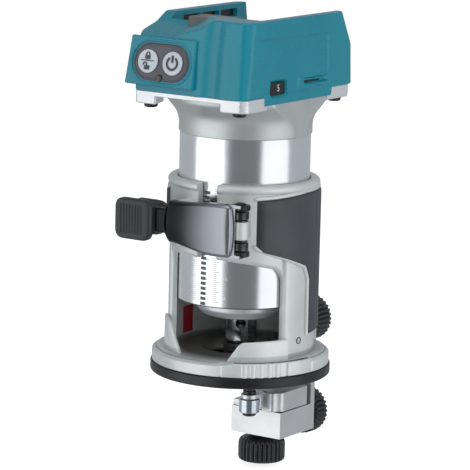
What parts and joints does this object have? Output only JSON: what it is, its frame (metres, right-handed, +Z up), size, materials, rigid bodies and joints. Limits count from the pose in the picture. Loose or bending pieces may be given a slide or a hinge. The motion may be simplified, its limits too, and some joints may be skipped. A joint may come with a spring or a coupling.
{
  "type": "trim router",
  "caption": "Compact cordless trim router: motor unit with battery rails in a clamp-collar base, depth knob, clamp lever and a trimming guide with roller under the sole.",
  "frame": {"origin": "on the spindle axis, in the plane of the sole's underside", "axes": "+Z up along the spindle towards the battery rails, -Y the front with buttons, rack and clamp lever, +X the side with the speed dial"},
  "size_m": [0.09, 0.1202, 0.2333],
  "materials": {
    "teal_plastic": "satin moulded plastic with a fine texture",
    "black_plastic": "matt moulded plastic",
    "black_gloss": "glossy black coating on pressed steel",
    "grey_rubber": "soft matt elastomer",
    "cast_aluminium": "silver painted die casting, fine grain",
    "machined_aluminium": "turned and polished, fine lines round the axis",
    "silver_guide": "satin machined",
    "steel": "ground steel",
    "zinc_steel": "zinc plated",
    "dark_steel": "black oxide",
    "copper": "enamelled wire",
    "brass": "plain",
    "red_plastic": "satin",
    "white_print": "printed membrane",
    "grey_plastic": "matt",
    "board_green": "solder mask",
    "red_lens": "clear tinted"
  },
  "bodies": {
    "base": {"sub_base": "black_plastic", "base_casting": "cast_aluminium", "grip_right": "grey_rubber", "grip_left": "grey_rubber", "red_insert": "red_plastic", "sub_base_screw_1": "dark_steel", "sub_base_screw_2": "dark_steel", "sub_base_screw_3": "dark_steel", "sub_base_screw_4": "dark_steel", "lever_pin": "steel", "lever_bush": "brass", "clamp_bolt_lower": "zinc_steel", "clamp_bolt_upper": "zinc_steel", "clamp_nut_lower": "zinc_steel", "clamp_nut_upper": "zinc_steel", "guide_holder": "silver_guide"},
    "motor_unit": {"motor_housing": "machined_aluminium", "retainer_plate": "cast_aluminium", "lower_bearing": "steel", "upper_bearing": "steel", "bearing_seat": "cast_aluminium", "bearing_bridge": "grey_plastic", "stator_core": "dark_steel", "winding_lower": "copper", "winding_upper": "copper", "head_cover": "teal_plastic", "button_panel": "grey_rubber", "indicator_lens": "red_lens", "switch_board": "board_green", "controller_case": "grey_plastic", "controller_board": "board_green", "terminal_block": "grey_plastic", "terminal_blade_1": "brass", "terminal_blade_2": "brass", "head_screw_1": "dark_steel", "head_screw_2": "dark_steel", "head_screw_3": "dark_steel", "head_screw_4": "dark_steel"},
    "rotor": {"spindle": "steel", "rotor_core": "zinc_steel", "fan": "black_plastic", "collet_cone": "steel"},
    "collet_nut": {"collet_nut": "steel"},
    "clamp_lever": {"clamp_lever": "black_gloss", "lever_tab": "black_plastic"},
    "pinion": {"pinion": "steel", "adjusting_knob": "black_plastic"},
    "lock_button": {"lock_button": "white_print"},
    "power_button": {"power_button": "white_print"},
    "speed_dial": {"speed_dial": "black_plastic"},
    "holder_clamp": {"holder_clamp_stud": "zinc_steel", "holder_clamp_knob": "black_plastic"},
    "guide_arm": {"guide_arm": "silver_guide", "roller_pin": "dark_steel"},
    "guide_roller": {"guide_roller": "steel"},
    "adjusting_screw": {"adjusting_screw": "zinc_steel", "adjusting_screw_knob": "black_plastic"},
    "guide_clamp": {"guide_clamp_stud": "zinc_steel", "guide_clamp_knob": "black_plastic"}
  },
  "joints": [
    {"name": "depth_slide", "type": "slide", "parent": "base", "child": "motor_unit", "axis": [0, 0, 1], "range_m": [-0.014, 0.025]},
    {"name": "pinion_spin", "type": "hinge", "parent": "base", "child": "pinion", "pos_m": [0, -0.0357, 0.079], "axis": [1, 0, 0], "range_deg": [-220, 362]},
    {"name": "rotor_spin", "type": "hinge", "parent": "motor_unit", "child": "rotor", "pos_m": [0, 0, 0.05], "axis": [0, 0, 1], "continuous": true},
    {"name": "collet_nut_turn", "type": "hinge", "parent": "rotor", "child": "collet_nut", "pos_m": [0, 0, 0.01], "axis": [0, 0, -1], "range_deg": [0, 360]},
    {"name": "lever_swing", "type": "hinge", "parent": "base", "child": "clamp_lever", "pos_m": [0.0245, -0.0385, 0.079], "axis": [0, 0, 1], "range_deg": [0, 110]},
    {"name": "lock_press", "type": "slide", "parent": "motor_unit", "child": "lock_button", "axis": [0, 0.9839, -0.1788], "range_m": [0, 0.0008], "stiffness_N_per_m": 600, "springref_m": -0.0005},
    {"name": "power_press", "type": "slide", "parent": "motor_unit", "child": "power_button", "axis": [0, 0.9839, -0.1788], "range_m": [0, 0.0008], "stiffness_N_per_m": 600, "springref_m": -0.0005},
    {"name": "dial_turn", "type": "hinge", "parent": "motor_unit", "child": "speed_dial", "pos_m": [0.0236, -0.02, 0.147], "axis": [0, 0, 1], "range_deg": [-160, 0]},
    {"name": "holder_clamp_turn", "type": "hinge", "parent": "base", "child": "holder_clamp", "pos_m": [0, 0.055, 0.017], "axis": [0, 1, 0], "range_deg": [0, 360]},
    {"name": "guide_slide", "type": "slide", "parent": "base", "child": "guide_arm", "axis": [0, 1, 0], "range_m": [-0.007, 0.002]},
    {"name": "roller_spin", "type": "hinge", "parent": "guide_arm", "child": "guide_roller", "pos_m": [0, 0.0093, -0.02], "axis": [0, 0, 1], "continuous": true},
    {"name": "adjusting_turn", "type": "hinge", "parent": "base", "child": "adjusting_screw", "pos_m": [0.001, 0.055, -0.031], "axis": [0, 1, 0], "range_deg": [-725, 2525]},
    {"name": "guide_clamp_turn", "type": "hinge", "parent": "guide_arm", "child": "guide_clamp", "pos_m": [-0.006, 0.0304, -0.045], "axis": [0, 0, -1], "range_deg": [0, 360]}
  ],
  "couplings": [
    {"joint": "pinion_spin", "follows": "depth_slide", "rad_per_m": 250.03},
    {"joint": "adjusting_turn", "follows": "guide_slide", "rad_per_m": -6283.2}
  ]
}
